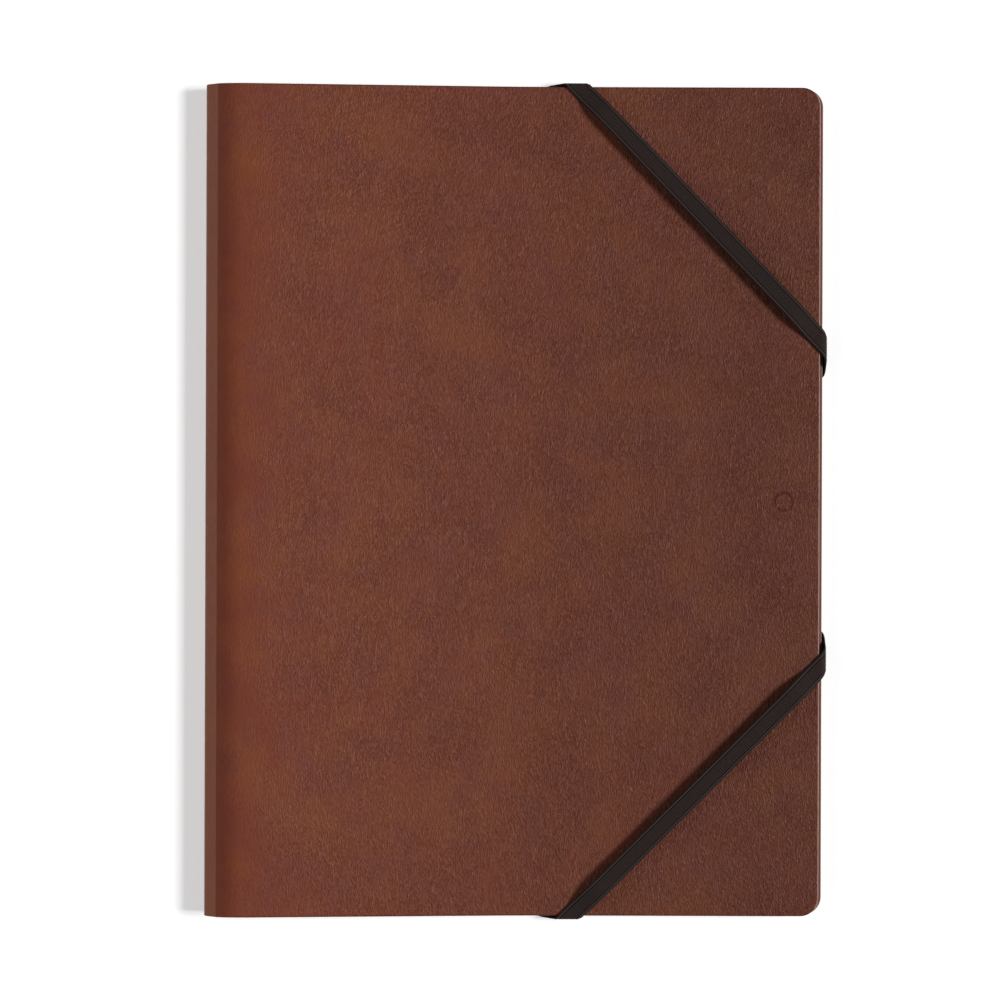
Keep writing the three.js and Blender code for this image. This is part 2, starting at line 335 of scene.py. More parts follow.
def plain_leather(name, colors, scale=1.0):
    """A smooth split leather with a faint nap, for the inside."""
    n = Nodes(name)
    flat = n.surface_mm()
    cells = n.ramp(n.cell_edges(warped(n, flat, 0.6, 0.5), 1.9 * scale), 0.0, 0.25)
    fine = n.noise(flat, 5.0, 4.0, 0.65)
    slow = n.noise(flat, 0.03, 3.0, 0.6)
    color = n.mix(n.ramp(slow, 0.3, 0.7), colors[0], colors[1])
    color = n.mix(n.ramp(fine, 0.35, 0.75, 0.0, 0.35), color, colors[2])
    height = n.math("MULTIPLY_ADD", cells, 0.35, n.math("MULTIPLY", fine, 0.3))
    edge = n.add("ShaderNodeAttribute", attribute_name="cut_edge").outputs["Fac"]
    color = n.mix(n.math("MULTIPLY", edge, 0.85), color, colors[3])
    return n.set(
        color=color,
        roughness=n.ramp(fine, 0.2, 0.8, 0.5, 0.65),
        specular=0.3,
        normal=n.bump(height, 0.00009, 0.6),
    )


def board_material():
    """Pressed fibre board, which shows only at the cut edges."""
    n = Nodes("fibre_board")
    place = n.add("ShaderNodeTexCoord").outputs["Object"]
    layers = n.add(
        "ShaderNodeMapping", {"Vector": place, "Scale": (700.0, 700.0, 6000.0)}, vector_type="POINT"
    ).outputs[0]
    grain = n.noise(layers, 1.0, 4.0, 0.65)
    color = n.mix(grain, (0.060, 0.030, 0.020, 1.0), (0.130, 0.075, 0.052, 1.0))
    return n.set(color=color, roughness=0.9, specular=0.15, normal=n.bump(grain, 0.0001, 0.7))


def thread_material():
    """Twisted thread: two plies, with a little fuzz."""
    n = Nodes("thread")
    flat = n.surface_mm()
    split = n.add("ShaderNodeSeparateXYZ", {0: flat})
    around = n.math("MULTIPLY", split.outputs[1], 9.0)
    twist = n.math("SINE", n.math("MULTIPLY_ADD", split.outputs[0], 13.0, around))
    ply = n.math("MULTIPLY_ADD", twist, 0.5, 0.5)
    fuzz = n.noise(flat, 9.0, 3.0, 0.7)
    color = n.mix(ply, (0.018, 0.008, 0.0055, 1.0), (0.050, 0.024, 0.017, 1.0))
    color = n.mix(n.ramp(fuzz, 0.4, 0.8, 0.0, 0.4), color, (0.085, 0.045, 0.033, 1.0))
    bump = n.bump(ply, 0.00006, 0.8)
    return n.set(color=color, roughness=0.7, specular=0.3, sheen=0.1, normal=bump)


# ---------------------------------------------------------------- section paths
def fillet(corner, before, after, radius):
    """Points of a round that replaces a corner."""
    corner, before, after = (np.array(p, float) for p in (corner, before, after))
    a = (before - corner) / np.linalg.norm(before - corner)
    b = (after - corner) / np.linalg.norm(after - corner)
    half = math.acos(np.clip(a @ b, -1, 1)) / 2
    reach = radius / math.tan(half)
    start, end = corner + a * reach, corner + b * reach
    # a circular arc through start and end, tangent to both legs
    middle = corner + (a + b) / np.linalg.norm(a + b) * radius / math.sin(half)
    angles = [math.atan2(*(p - middle)[::-1]) for p in (start, end)]
    turn = (angles[1] - angles[0] + math.pi) % (2 * math.pi) - math.pi
    around = angles[0] + np.linspace(0, 1, 10) * turn
    return [tuple(middle + radius * np.array([math.cos(g), math.sin(g)])) for g in around]


def bezier(a, b, c):
    """Points of a quadratic curve from a to c, drawn towards b."""
    t = np.linspace(0, 1, 40)[:, None]
    a, b, c = (np.array(p, float) for p in (a, b, c))
    return [tuple(p) for p in (1 - t) ** 2 * a + 2 * t * (1 - t) * b + t**2 * c]


class Section:
    """A section path in mm: place, outward normal and softened normal at any arc length."""

    STEP = 0.05

    def __init__(self, points, flip):
        points = np.array(points, float)
        keep = np.r_[True, np.linalg.norm(np.diff(points, axis=0), axis=1) > 1e-6]
        points = points[keep]
        length = np.r_[0, np.cumsum(np.linalg.norm(np.diff(points, axis=0), axis=1))]
        self.total = length[-1]
        self.s = np.linspace(0, self.total, int(self.total / self.STEP) + 1)
        self.p = np.stack([np.interp(self.s, length, points[:, k]) for k in (0, 1)], 1)
        angle = np.unwrap(np.arctan2(*np.gradient(self.p, axis=0).T[::-1]))
        self.angle = self.smooth(angle, 0.3)
        self.soft = self.smooth(angle, 2.6)
        self.side = 1.0 if flip else -1.0

    def smooth(self, values, width):
        n = max(1, int(width / self.STEP))
        kernel = np.hanning(2 * n + 1)
        kernel /= kernel.sum()
        padded = np.pad(values, n, mode="edge")
        return np.convolve(padded, kernel, mode="valid")

    def at(self, s, depth=0.0):
        """Points at arc length s, "depth" mm below the outer face, and the outward normals."""
        x, z = (np.interp(s, self.s, self.p[:, k]) for k in (0, 1))
        soft = np.interp(s, self.s, self.soft)
        hard = np.interp(s, self.s, self.angle)
        inwards = np.stack([np.sin(soft), -np.cos(soft)], 1) * -self.side
        out = np.stack([-np.sin(hard), np.cos(hard)], 1) * -self.side
        return np.stack([x, z], 1) + inwards * np.asarray(depth).reshape(-1, 1), out

    def where(self, x):
        """The arc length at which the panel reaches section x, past the fold."""
        far = self.p[:, 0] > 4.9
        return np.interp(x, self.p[far, 0], self.s[far])


def front_section():
    """The spine's upper half, its fold, the crease, the shoulder and the front's gentle fall."""
    p, q = (0.0, MIDDLE + SPINE_HALF), (CREASE, CREASE_Z)
    ctrl = (9.5, SHOULDER_END[1] + FALL * 8.5)
    points = [(0.0, MIDDLE)]
    points += fillet(p, (0.0, MIDDLE), q, 2.6)
    points += fillet(q, p, ctrl, 1.1)
    points += bezier(points[-1], ctrl, SHOULDER_END)
    points += bezier((105.0, FORE_TOP + FALL * 15), (120.0, FORE_TOP), (135.0, FORE_TOP))
    points += [(FRONT_WIDTH, FORE_TOP)]
    return Section(points, flip=False)


def back_section():
    """The spine's lower half, its fold and the flat back."""
    p, q = (0.0, MIDDLE - SPINE_HALF), (CREASE, BASE)
    points = [(0.0, MIDDLE)]
    points += fillet(p, (0.0, MIDDLE), q, 2.6)
    points += fillet(q, p, (20.0, BASE), 2.2)
    points += [(BACK_WIDTH, BASE)]
    return Section(points, flip=True)


FRONT = front_section()
BACK = back_section()


# ---------------------------------------------------------------- sheets
def spaced(breaks):
    """Values from (start, step) pairs; the last pair gives the end."""
    values = []
    for (a, step), (b, _) in zip(breaks, breaks[1:]):
        count = max(1, int(round((b - a) / step)))
        values += list(np.linspace(a, b, count + 1)[:-1])
    return np.array(values + [breaks[-1][0]])


def new_object(name, vertices, faces, material, uv, masks=None, smooth_angle=38.0):
    """A mesh object from vertices and uv in mm, with masks as point attributes."""
    mesh = bpy.data.meshes.new(name)
    vertices = np.asarray(vertices, float)
    faces = [tuple(f) for f in faces]
    mesh.from_pydata((vertices * MM).tolist(), [], faces)
    layer = mesh.uv_layers.new(name="UVMap")
    loops = np.zeros(len(mesh.loops), int)
    mesh.loops.foreach_get("vertex_index", loops)
    layer.data.foreach_set("uv", (np.asarray(uv) * MM)[loops].astype(np.float32).ravel())
    for key, values in (masks or {}).items():
        attribute = mesh.attributes.new(key, "FLOAT", "POINT")
        attribute.data.foreach_set("value", np.asarray(values, np.float32))
    mesh.polygons.foreach_set("use_smooth", [True] * len(mesh.polygons))
    mesh.set_sharp_from_angle(angle=math.radians(smooth_angle))
    mesh.materials.append(material)
    mesh.update()
    made = bpy.data.objects.new(name, mesh)
    bpy.context.scene.collection.objects.link(made)
    return made


def ease(share):
    return share * share * (3 - 2 * share)


def waves(x, y, seed, size):
    """A gentle, seeded up-and-down over a panel, between about -1 and 1."""
    count = 14
    rng = np.random.default_rng(seed)
    total = np.zeros_like(x)
    for _ in range(count):
        length = rng.uniform(0.6, 1.9) * size
        angle = rng.uniform(0, math.pi)
        phase = rng.uniform(0, 2 * math.pi)
        along = x * math.cos(angle) + y * math.sin(angle)
        total += np.sin(along * 2 * math.pi / length + phase)
    return total / math.sqrt(count)


def edge_distance(x, y, width, half, radius):
    """How far in from the fore-edge, top and bottom of a panel with round fore-edge corners."""
    dx = width - x
    dy = half - np.abs(y)
    corner = radius - np.hypot(np.maximum(radius - dx, 0), np.maximum(radius - dy, 0))
    return np.where((dx < radius) & (dy < radius), corner, np.minimum(dx, dy))


def sheet_mesh(section, s, t, width, half, radius, depth, thickness, rounds, rise=None, near=None):
    """A sheet that follows a section. Gives vertices, faces, uv and the distance to the edge.
    s are arc lengths and t shares of the half height. The two rims at the ends of t and the one
    at the last s are closed; the first s is closed only if near is given (its inset)."""
    n, m = len(s), len(t)
    centre, _ = section.at(s, 0.0)
    x = centre[:, 0]
    inside = np.clip(x - (width - radius), 0, radius)
    high = half - radius + np.sqrt(np.maximum(radius**2 - inside**2, 0.0))
    y = t[None, :] * high[:, None]
    xx = np.repeat(x[:, None], m, 1)
    gap = edge_distance(xx, y, width, half, radius)
    if near is not None:
        gap = np.minimum(gap, xx - near)
    gap = np.maximum(gap, 0.0)

    def layer(extra, rounding, inwards):
        drop = np.zeros_like(gap)
        close = gap < rounding
        drop[close] = rounding - np.sqrt(rounding**2 - (rounding - gap[close]) ** 2)
        flat = extra + drop * inwards - (rise(xx, y, gap) if rise else 0.0)
        points = np.zeros((n, m, 3))
        base, _ = section.at(s, 0.0)
        below, _ = section.at(s, 1.0)
        step = below - base
        points[:, :, 0] = base[:, 0][:, None] + step[:, 0][:, None] * flat + ROW_SHIFT
        points[:, :, 2] = base[:, 1][:, None] + step[:, 1][:, None] * flat
        points[:, :, 1] = y
        return points.reshape(-1, 3)

    top = layer(depth, rounds[0], 1.0)
    low = layer(depth + thickness, rounds[1], -1.0)
    vertices = np.vstack([top, low])
    index = np.arange(n * m).reshape(n, m)
    a, b = index[:-1, :-1].ravel(), index[1:, :-1].ravel()
    c, d = index[1:, 1:].ravel(), index[:-1, 1:].ravel()
    outwards = section.side < 0
    quads = np.stack([a, b, c, d] if outwards else [d, c, b, a], 1)
    back = quads[:, ::-1] + n * m
    faces = [quads, back]
    rims = [index[:, 0], index[-1, :], index[::-1, -1]]
    if near is not None:
        rims.append(index[0, ::-1])
    for rim in rims:
        p, q = rim[:-1], rim[1:]
        side = [p, p + n * m, q + n * m, q] if outwards else [q, q + n * m, p + n * m, p]
        faces.append(np.stack(side, 1))
    faces = np.vstack(faces)
    uv = np.stack([np.repeat(s[:, None] * (1 if outwards else -1), m, 1).ravel(), y.ravel()], 1)
    uv = np.vstack([uv, uv])
    return vertices, faces, uv, np.r_[gap.ravel(), gap.ravel()], np.r_[xx.ravel(), xx.ravel()]


def rows(fine_middle=False):
    """Shares of the half height: close together at the ends, and at the stamp if asked."""
    half = HEIGHT / 2
    marks = [(0.0, 0.16 if fine_middle else 2.0), (4.8 if fine_middle else 4.0, 2.0)]
    marks += [(half - 8, 0.6), (half - 1.2, 0.15), (half - 0.3, 0.075), (half, 1)]
    positive = spaced(marks)
    return np.r_[-positive[:0:-1], positive] / half


def columns(section, width, ring=None, start=0.0):
    """Arc lengths: close together at the folds, the stamp, the corners and the cut edge."""
    marks = [(start, 0.22), (16.0, 0.5), (24.0, 2.0)] if start == 0.0 else [(start, 2.0)]
    end = section.where(width)
    if ring:
        at = section.where(ring)
        marks += [(at - 4.8, 0.16), (at + 4.8, 1.5)]
    marks += [(end - 7.0, 0.5), (end - 1.2, 0.15), (end - 0.3, 0.05), (end, 1)]
    return spaced(marks)


# Red, orange, plum, pale crest, deep groove, painted shade beside the spine, painted sheen on the
# fold, cut edge (raw edge, paler as a painted highlight)
HIDE_TINT = (
    (0.150, 0.0320, 0.0150, 1.0),
    (0.168, 0.0430, 0.0140, 1.0),
    (0.138, 0.0320, 0.0205, 1.0),
    (0.300, 0.1050, 0.0640, 1.0),
    (0.058, 0.0105, 0.0050, 1.0),
    (0.080, 0.0125, 0.0044, 1.0),
    (0.200, 0.0720, 0.0420, 1.0),
    (0.560, 0.3500, 0.2850, 1.0),
)
leather = leather_material("leather", HIDE_TINT)
LINING_TINT = (
    (0.120, 0.050, 0.036, 1.0),
    (0.140, 0.058, 0.043, 1.0),
    (0.190, 0.090, 0.068, 1.0),
    (0.33, 0.20, 0.16, 1.0),
)
SLEEVE_TINT = (
    (0.100, 0.031, 0.018, 1.0),
    (0.116, 0.037, 0.021, 1.0),
    (0.165, 0.063, 0.041, 1.0),
    (0.26, 0.14, 0.10, 1.0),
)
lining = plain_leather("lining_leather", LINING_TINT)
sleeve_leather = plain_leather("sleeve_leather", SLEEVE_TINT, scale=0.8)
thread = thread_material()
fibre_board = board_material()


def ring_stamp(x, y, gap):
    """The blind-stamped ring, with soft pressed shoulders, and the panel's gentle waves."""
    r = np.hypot(x - STAMP_AT, y)
    soft = 0.28
    inner = np.clip((r - STAMP_INNER + soft) / (2 * soft), 0, 1)
    outer = np.clip((STAMP_OUTER + soft - r) / (2 * soft), 0, 1)
    press = ease(inner) * ease(outer)
    calm = np.clip(gap / 12.0, 0, 1)
    past_fold = np.clip((x - 12) / 20, 0, 1)
    return -STAMP_DEPTH * press + 0.045 * waves(x, y, 5, 46.0) * calm * past_fold


def bend_masks(section, uv, crease_x):
    """Where painted shade darkens the leather beside the spine, and where painted sheen lightens
    the fold.
    """
    past = np.abs(uv[:, 0]) - section.where(crease_x)
    # painted shade: a dark band just past the crease, where the cover slopes away from the key
    # light
    painted_shade = np.clip((past + 0.30) / 0.35, 0, 1) * np.clip((9.0 - past) / 6.0, 0, 1)
    # painted sheen: the fold paler and greyer, for the reflection of the bright floor and fill that
    # it catches
    painted_sheen = np.clip(-past / 0.35, 0, 1)
    return painted_shade, painted_sheen


def rim_masks(gap, x, width, count):
    """Raw fibre with a painted highlight along the fore-edge, which faces the key light, and a
    painted shade rim along the top and bottom, which face away from it.
    """
    rim = np.clip(1.15 - gap / 0.5, 0, 1)
    # the pale cut-edge colour only along the fore-edge, which faces the key light: raw edge and
    # painted highlight
    fore = np.clip(1.6 - (width - x) / 1.5, 0, 1)
    cut = rim * fore
    # painted shade: a dark rim along the top and bottom edges
    dark = 1.5 * np.clip(1.25 - gap / 0.6, 0, 1) * (1 - fore)
    cut[count:], dark[count:] = 1.0, 0.0
    return cut, dark


def side_of(side):
    front = side == "front"
    return (front, FRONT, FRONT_WIDTH) if front else (front, BACK, BACK_WIDTH)


def make_hide_front():
    s = columns(FRONT, FRONT_WIDTH, ring=STAMP_AT)
    t = rows(fine_middle=True)
    v, f, uv, gap, x = sheet_mesh(
        FRONT, s, t, FRONT_WIDTH, HEIGHT / 2, CORNER_RADIUS, 0.0, LEATHER, HIDE_ROUNDS, ring_stamp
    )
    count = len(v) // 2
    cut, dark = rim_masks(gap, x, FRONT_WIDTH, count)
    painted_shade, painted_sheen = bend_masks(FRONT, uv, CREASE)
    ring = np.hypot(x - STAMP_AT, v[:, 1])
    pressed = np.clip((STAMP_OUTER + 0.1 - ring) / 0.2, 0, 1)
    pressed = pressed * np.clip((ring - STAMP_INNER + 0.1) / 0.2, 0, 1)
    # painted shade: the pressed ring of the stamp is darkened in its recess, along with the rims
    # and the band
    painted_shade = np.maximum.reduce([painted_shade, dark, 1.6 * pressed])
    masks = {"cut_edge": cut, "painted_shade": painted_shade, "painted_sheen": painted_sheen}
    piece = new_object("hide_front", v, f, leather, uv, masks)
    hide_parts("front_leather", "front_fold_leather", "spine_leather")
    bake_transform(piece)


def make_hide_back(holes):
    s = columns(BACK, BACK_WIDTH)
    v, f, uv, gap, x = sheet_mesh(
        BACK, s, rows(), BACK_WIDTH, HEIGHT / 2, CORNER_RADIUS, 0.0, LEATHER, HIDE_ROUNDS
    )
    count = len(v) // 2
    cut, dark = rim_masks(gap, x, BACK_WIDTH, count)
    painted_shade, painted_sheen = bend_masks(BACK, uv, 5.0)
    # painted shade along the back's top and bottom rims joins the band's mask
    painted_shade = np.maximum(painted_shade, dark)
    masks = {"cut_edge": cut, "painted_shade": painted_shade, "painted_sheen": painted_sheen}
    piece = new_object("hide_back", v, f, leather, uv, masks)
    cut_holes(piece, holes)
    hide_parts("back_leather", "back_fold_leather")
    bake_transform(piece)


def make_lining(side):
    front, section, width = side_of(side)
    s = columns(section, width)
    v, f, uv, gap, _ = sheet_mesh(
        section, s, rows(), width, HEIGHT / 2, CORNER_RADIUS, LINING_DEPTH, LINING, (0.08, 0.12)
    )
    cut = np.clip(1.1 - gap / 0.3, 0, 1)
    piece = new_object(f"lining_{side}", v, f, lining, uv, {"cut_edge": cut})
    if front:
        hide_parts("front_lining", "front_fold_lining", "spine_lining")
        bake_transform(piece)
    else:
        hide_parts("back_lining", "back_fold_lining")
        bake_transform(piece)


def make_sleeve(side):
    """A sleeve lies on the lining at its sewn edges and stands off a little between them."""
    _, section, width = side_of(side)
    edge = width - SLEEVE_INSET
    half = HEIGHT / 2 - SLEEVE_INSET

    def rise(x, y, gap):
        sewn = np.minimum(half - np.abs(y), np.abs(edge - x))
        free = np.clip((sewn - 3.0) / 14.0, 0, 1)
        pressed = np.exp(-(((sewn - SEAM_INSET) / 0.7) ** 2))
        return -0.12 * ease(free) + 0.09 * pressed + 0.02 * waves(x, y, 11, 60.0) * free

    start = float(section.where(SLEEVE_MOUTH))
    end = float(section.where(edge))
    marks = [(start, 0.12), (start + 0.6, 0.6), (start + 3, 2.0)]
    marks += [(end - 8, 0.5), (end - 1.0, 0.12), (end, 1)]
    s = spaced(marks)
    positive = spaced([(0.0, 2.0), (half - 8, 0.5), (half - 1.0, 0.12), (half, 1)])
    t = np.r_[-positive[:0:-1], positive] / half
    depth = LINING_DEPTH + LINING + SLEEVE_GAP
    v, f, uv, gap, _ = sheet_mesh(
        section, s, t, edge, half, CORNER_RADIUS - SLEEVE_INSET, depth, SLEEVE,
        (0.1, 0.2), rise, near=SLEEVE_MOUTH,
    )
    cut = np.clip(1.1 - gap / 0.35, 0, 1)
    piece = new_object(f"sleeve_{side}", v, f, sleeve_leather, uv, {"cut_edge": cut})
    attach(piece, f"{side}_cover")
    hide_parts(f"{side}_sleeve")


def stitch_route(width):
    """The seam line round a sleeve's three sewn sides, as points 0.1 mm apart."""
    inset = SLEEVE_INSET + SEAM_INSET
    right, top, r = width - inset, HEIGHT / 2 - inset, CORNER_RADIUS - inset
    turn = np.linspace(-math.pi / 2, 0, 12)
    points = [(SLEEVE_MOUTH + SEAM_INSET, -top)]
    points += [(right - r + r * math.cos(a), -top + r + r * math.sin(a)) for a in turn]
    points += [(right - r + r * math.cos(a), top - r + r * math.sin(a)) for a in turn + math.pi / 2]
    points += [(SLEEVE_MOUTH + SEAM_INSET, top)]
    points = np.array(points)
    length = np.r_[0, np.cumsum(np.linalg.norm(np.diff(points, axis=0), axis=1))]
    s = np.arange(0, length[-1], 0.1)
    return np.stack([np.interp(s, length, points[:, k]) for k in (0, 1)], 1)


def make_stitches(side):
    """Lockstitches along a sleeve: each is a short plump length of thread that dips at its ends."""
    front, _, width = side_of(side)
    depth = LINING_DEPTH + LINING + SLEEVE_GAP + SLEEVE
    level = FORE_TOP - depth if front else BASE + depth
    inwards = -1.0 if front else 1.0
    route = stitch_route(width)
    pitch, long = 3.3, 2.75
    rng = np.random.default_rng(21 if front else 22)
    around = np.linspace(0, 2 * math.pi, 9)[:-1]
    lengthwise = np.linspace(0, 1, 11)
    vertices, faces, uv = [], [], []
    count = int((len(route) * 0.1 - long) / pitch)
    for k in range(count):
        begin = int((k * pitch + 0.2) / 0.1)
        middle = begin + int(long / 0.2)
        ahead = route[min(middle + 4, len(route) - 1)] - route[middle - 4]
        heading = math.atan2(ahead[1], ahead[0]) + rng.normal(0, 0.025)
        direction = np.array([math.cos(heading), math.sin(heading)])
        normal = np.array([-direction[1], direction[0]])
        centre = route[middle] + normal * rng.normal(0, 0.03)
        base = len(vertices)
        for w in lengthwise:
            round_off = math.sqrt(max(0.0, 1 - (2 * w - 1) ** 4))
            radius = 0.03 + 0.2 * round_off
            rise = 0.10 * round_off - 0.16 * (1 - round_off)
            for a in around:
                offset = normal * radius * math.cos(a) * 1.15
                p = centre + direction * (w - 0.5) * long + offset
                z = level + inwards * (rise + 0.07 * math.sin(a) * round_off)
                vertices.append((p[0] + ROW_SHIFT, p[1], z))
                uv.append((w * long + k * 0.7, a * radius))
        m = len(around)
        for i in range(len(lengthwise) - 1):
            for j in range(m):
                a, b = base + i * m + j, base + i * m + (j + 1) % m
                quad = (a, a + m, b + m, b)
                faces.append(quad[::-1] if inwards > 0 else quad)
        faces.append(tuple(range(base, base + m)))
        last = base + (len(lengthwise) - 1) * m
        faces.append(tuple(range(last + m - 1, last - 1, -1)))
    piece = new_object(f"stitches_{side}", vertices, faces, thread, uv, smooth_angle=75)
    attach(piece, f"{side}_cover")
    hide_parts(f"{side}_sleeve_seam")


def finish_boards():
    """The boards stay the CAD's own nodes, with a fibre-board material."""
    for node in ("back_board", "spine_board", "front_board"):
        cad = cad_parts[node]
        cad.data.materials.clear()
        cad.data.materials.append(fibre_board)


def cut_holes(piece, holes):
    """Takes rectangular holes out of a mesh; each hole is (centre mm, length, width, angle)."""
    cutters = []
    for k, (centre, length, width, angle) in enumerate(holes):
        c, s = math.cos(angle), math.sin(angle)
        corners = []
        for z in (centre[2] - 3, centre[2] + 3):
            for a, b in ((-1, -1), (1, -1), (1, 1), (-1, 1)):
                u, w = a * length / 2, b * width / 2
                corners.append((centre[0] + u * c - w * s, centre[1] + u * s + w * c, z))
        faces = [(3, 2, 1, 0), (4, 5, 6, 7)]
        faces += [(0, 1, 5, 4), (1, 2, 6, 5), (2, 3, 7, 6), (3, 0, 4, 7)]
        mesh = bpy.data.meshes.new(f"cutter{k}")
        mesh.from_pydata((np.array(corners) * MM).tolist(), [], faces)
        cutter = bpy.data.objects.new(f"cutter{k}", mesh)
        bpy.context.scene.collection.objects.link(cutter)
        cutters.append(cutter)
        modifier = piece.modifiers.new(f"slot{k}", "BOOLEAN")
        modifier.operation = "DIFFERENCE"
        modifier.solver = "EXACT"
        modifier.object = cutter
    bpy.context.view_layer.update()
    evaluated = piece.evaluated_get(bpy.context.evaluated_depsgraph_get())
    cut = bpy.data.meshes.new_from_object(evaluated)
    piece.modifiers.clear()
    old = piece.data
    piece.data = cut
    bpy.data.meshes.remove(old)
    for cutter in cutters:
        mesh = cutter.data
        bpy.data.objects.remove(cutter)
        bpy.data.meshes.remove(mesh)


# ---------------------------------------------------------------- elastics
def over_edge(past, lift, ledge):
    """Where a strap goes over an edge; the same route as in the CAD, for arrays in mm."""
    top, bottom = FORE_TOP + STRAP_GAP, BASE - STRAP_GAP
    first = TURN_RADIUS + ledge
    first_turn = (first + STRAP / 2) * math.pi / 2
    side = top - bottom - first - TURN_RADIUS
    last_turn = (TURN_RADIUS + STRAP / 2) * math.pi / 2
    a = past / (first + STRAP / 2)
    b = (past - first_turn - side) / (TURN_RADIUS + STRAP / 2)
    reach = TURN_RADIUS + lift
    zones = [past <= 0, past <= first_turn, past <= first_turn + side,
             past <= first_turn + side + last_turn]
    out = np.select(
        zones,
        [past, np.sin(a) * (first + lift), first + lift, ledge + np.cos(b) * reach],
        ledge - (past - first_turn - side - last_turn),
    )
    z = np.select(
        zones,
        [top + lift, top - first + np.cos(a) * (first + lift), top - first - (past - first_turn),
         bottom + TURN_RADIUS - np.sin(b) * reach],
        bottom - lift,
    )
    return out, z


def wrap_length(ledge):
    """How much strap goes round an edge, from the top face to the bottom face."""
    turns = (2 * TURN_RADIUS + ledge + STRAP) * math.pi / 2
    return turns + FORE_TOP - BASE + 2 * STRAP_GAP - 2 * TURN_RADIUS - ledge


class Strap:
    """The route of one elastic: s along it from mid-span, t across it, lift above its inside."""

    def __init__(self, corner, along_top, down_side):
        self.corner = corner
        self.ledge = BACK_WIDTH - FRONT_WIDTH
        self.span = math.hypot(along_top, down_side)
        self.along = np.array([along_top, -corner * down_side]) / self.span
        self.across = np.array([-self.along[1], self.along[0]])
        self.middle = np.array([FRONT_WIDTH - along_top / 2, corner * (HEIGHT / 2 - down_side / 2)])
        self.start_run = self.span / 2 + wrap_length(0.0) / abs(self.along[1]) + REAR_RUN
        self.end_run = self.span / 2 + wrap_length(self.ledge) / self.along[0] + REAR_RUN

    def place(self, s, t, lift):
        """Strap coordinates to row coordinates in mm."""
        side = np.sign(s)
        slot = np.where(s < 0, self.start_run, self.end_run)
        beyond = np.abs(s) - slot
        turn = (TURN_RADIUS + STRAP / 2) * math.pi / 2
        angle = np.clip(beyond / (TURN_RADIUS + STRAP / 2), 0, math.pi / 2)
        reach = TURN_RADIUS + lift
        straight = np.maximum(0, beyond - turn)
        turned = beyond > 0
        s2 = np.where(turned, side * (slot + np.sin(angle) * reach), s)
        l2 = np.where(turned, np.cos(angle) * reach - TURN_RADIUS - straight, lift)
        flat = self.middle[:, None] + self.along[:, None] * s2 + self.across[:, None] * t
        past_top = self.corner * flat[1] - HEIGHT / 2
        past_side = flat[0] - FRONT_WIDTH
        top_out, top_z = over_edge(past_top, l2, 0.0)
        side_out, side_z = over_edge(past_side, l2, self.ledge)
        over = past_top > 0
        x = np.where(over, flat[0], FRONT_WIDTH + side_out) + ROW_SHIFT
        y = np.where(over, self.corner * (HEIGHT / 2 + top_out), flat[1])
        return np.stack([x, y, np.where(over, top_z, side_z)], 1)

    def slots(self):
        """The two holes in the back leather, for cut_holes."""
        length = TURN_RADIUS + STRAP + 0.3
        width = STRAP_WIDTH + 0.6
        found = []
        for s in (-self.start_run - length / 2, self.end_run + length / 2):
            p = self.place_flat(s)
            angle = math.atan2(self.along[1], -self.along[0]) + math.pi
            found.append(((p[0], p[1], BASE + 0.5), length, width, angle))
        return found

    def place_flat(self, s):
        """Where the strap's centre line is at s, seen from above."""
        flat = self.middle + self.along * s
        past_top = self.corner * flat[1] - HEIGHT / 2
        if past_top > 0:
            out, _ = over_edge(np.array([past_top]), np.array([0.0]), 0.0)
            return np.array([flat[0] + ROW_SHIFT, self.corner * (HEIGHT / 2 + out[0])])
        out, _ = over_edge(np.array([flat[0] - FRONT_WIDTH]), np.array([0.0]), self.ledge)
        return np.array([FRONT_WIDTH + out[0] + ROW_SHIFT, flat[1]])


def strap_material():
    """Woven elastic: cross ribs of covered rubber between two grooves, and tight selvages."""
    n = Nodes("elastic")
    flat = n.surface_mm()
    split = n.add("ShaderNodeSeparateXYZ", {0: flat})
    s, t = split.outputs[0], split.outputs[1]
    away = n.math("ABSOLUTE", t)
    wave = n.math("SINE", n.math("MULTIPLY_ADD", s, 2 * math.pi / RIB_PITCH, math.pi / 2))
    rib = n.ramp(wave, -0.7, 0.8)
    # the warp threads cross the ribs, a little darker between two threads
    thread_wave = n.math("SINE", n.math("MULTIPLY", t, 2 * math.pi / THREAD_PITCH))
    warp = n.ramp(thread_wave, -1.0, 0.6, 0.55, 1.0)
    fibres = n.noise(n.surface_mm(stretch=(1.0, 0.25)), 5.0, 3.0, 0.65)
    uneven = n.noise(flat, 0.7, 3.0, 0.6)
    weave = n.math("MULTIPLY", rib, warp)
    body = n.mix(weave, (0.0040, 0.0022, 0.0020, 1.0), (0.0470, 0.0310, 0.0270, 1.0))
    body = n.mix(n.ramp(fibres, 0.35, 0.75, 0.0, 0.30), body, (0.040, 0.028, 0.025, 1.0))
    body = n.mix(n.ramp(uneven, 0.35, 0.65, 0.0, 0.30), body, (0.012, 0.0075, 0.0065, 1.0))
    # from 2.4 mm out the selvage, with painted shade on its rolled-down outer side, and a dark
    # groove before it
    selvage = n.mix(fibres, (0.024, 0.017, 0.015, 1.0), (0.060, 0.044, 0.039, 1.0))
    outer = n.ramp(away, 2.85, 3.15)
    selvage = n.mix(outer, selvage, (0.0130, 0.0085, 0.0075, 1.0))
    color = n.mix(n.ramp(away, 2.40, 2.62), body, selvage)
    near = n.math("ABSOLUTE", n.math("SUBTRACT", away, 2.32))
    groove = n.math("SUBTRACT", 1.0, n.ramp(near, 0.08, 0.32))
    color = n.mix(n.math("MULTIPLY", groove, 0.85), color, (0.0045, 0.0028, 0.0024, 1.0))
    return n.set(
        color=color,
        roughness=0.8,
        specular=0.10,
        sheen=0.04,
        sheen_roughness=0.5,
        normal=n.bump(fibres, 0.00005, 0.6),
    )


elastic = strap_material()


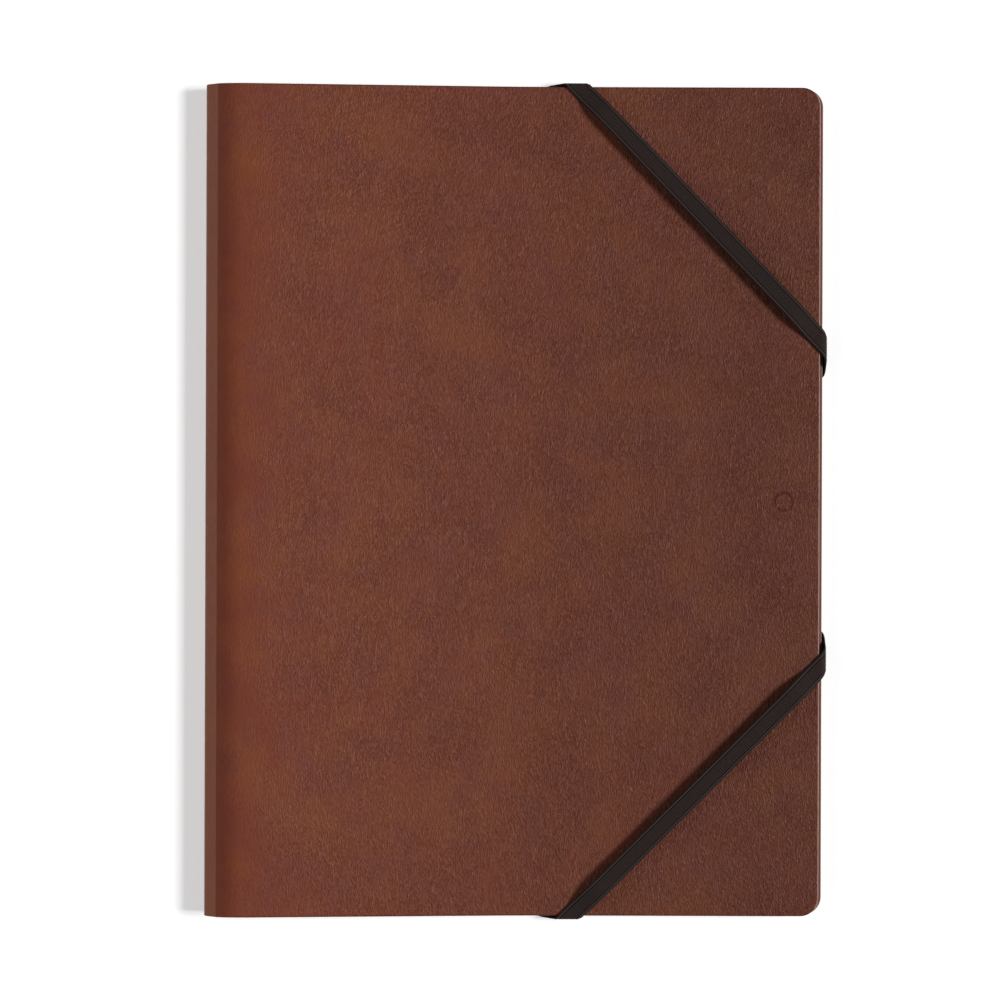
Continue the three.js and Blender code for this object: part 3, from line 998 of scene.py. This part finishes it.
def strap_half(name, strap, sign, body):
    """One half of a strap, from its middle to its tail, woven with cross ribs and two selvages."""
    end = strap.start_run if sign < 0 else strap.end_run
    end += (TURN_RADIUS + STRAP / 2) * math.pi / 2 + STRAP_TAIL - TURN_RADIUS
    count = int(end / 0.12)
    s = np.linspace(0, end, count)
    half = STRAP_WIDTH / 2
    edge = half - 0.22
    t = np.r_[
        np.linspace(-edge, -2.75, 5), np.linspace(-2.6, -2.2, 4), np.linspace(-2.0, 2.0, 19),
        np.linspace(2.2, 2.6, 4), np.linspace(2.75, edge, 5),
    ]
    a = np.abs(t)
    # height of the outer face above the strap's own middle layer: flat, a groove, a bead
    high = 0.40 - 0.20 * np.exp(-(((a - 2.36) / 0.15) ** 2))
    high = high + 0.05 * np.exp(-(((a - 2.78) / 0.16) ** 2))
    high -= 0.20 * np.clip((a - 2.85) / 0.48, 0, 1) ** 1.6
    ribs = np.clip((2.35 - a) / 0.2, 0, 1)
    curve = np.linspace(0, math.pi, 9)[1:-1]
    right_t = edge + 0.22 * np.sin(curve)
    right_h = 0.20 * np.cos(curve)
    loop_t = np.r_[t, right_t, t[::-1], -right_t]
    loop_h = np.r_[high, right_h, -high[::-1], -right_h]
    rib_share = np.r_[ribs, np.zeros(7), ribs[::-1], np.zeros(7)]
    face = np.r_[np.ones(len(t)), np.zeros(7), -np.ones(len(t)), np.zeros(7)]
    m = len(loop_t)
    ss, tt = np.repeat(s[:, None], m, 1), np.repeat(loop_t[None, :], count, 0)
    phase = 2 * math.pi * ss / RIB_PITCH
    bead = 2 * math.pi * ss / (RIB_PITCH * 0.9)
    threads = 0.75 + 0.25 * np.sin(2 * math.pi * tt / THREAD_PITCH)
    rib = 0.075 * np.cos(phase) * threads * rib_share[None, :] * face[None, :]
    twill = 0.022 * np.cos(bead + 3.0 * tt) * (np.abs(tt) > 2.6) * np.sign(loop_h)[None, :]
    hh = loop_h[None, :] + rib + twill
    # The taut strap stands a little off the leather between the two edges
    near = np.clip((strap.span / 2 - 1.5 - ss) / STAND_RAMP, 0, 1)
    lift = STRAP / 2 + hh + STAND_OFF * ease(near)
    points = strap.place((sign * ss).ravel(), tt.ravel(), lift.ravel())
    index = np.arange(count * m).reshape(count, m)
    nxt = np.roll(index, -1, axis=1)
    quads = np.stack([index[:-1], index[1:], nxt[1:], nxt[:-1]], -1).reshape(-1, 4)
    if sign < 0:
        quads = quads[:, ::-1]
    tail = index[-1] if sign < 0 else index[-1][::-1]
    faces = [tuple(q) for q in quads] + [tuple(tail)]
    uv = np.stack([(sign * ss).ravel(), tt.ravel()], 1)
    piece = new_object(name, points, faces, elastic, uv, smooth_angle=80)
    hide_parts(body)
    cross = strap.place_flat(sign * (strap.span / 2))
    mid = strap.place_flat(0.0)
    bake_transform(piece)


def main():
    add_camera()
    add_light()
    add_floor()
    straps = {"elastic_upper": Strap(1, 91.9, 95.8), "elastic_lower": Strap(-1, 94.3, 94.3)}
    make_hide_front()
    make_hide_back([hole for strap in straps.values() for hole in strap.slots()])
    for side in ("front", "back"):
        make_lining(side)
        make_sleeve(side)
        make_stitches(side)
    finish_boards()
    for body, strap in straps.items():
        strap_half(body.replace("elastic", "strap") + "_edge", strap, -1, body)
        strap_half(body.replace("elastic", "strap") + "_side", strap, 1, body)


main()
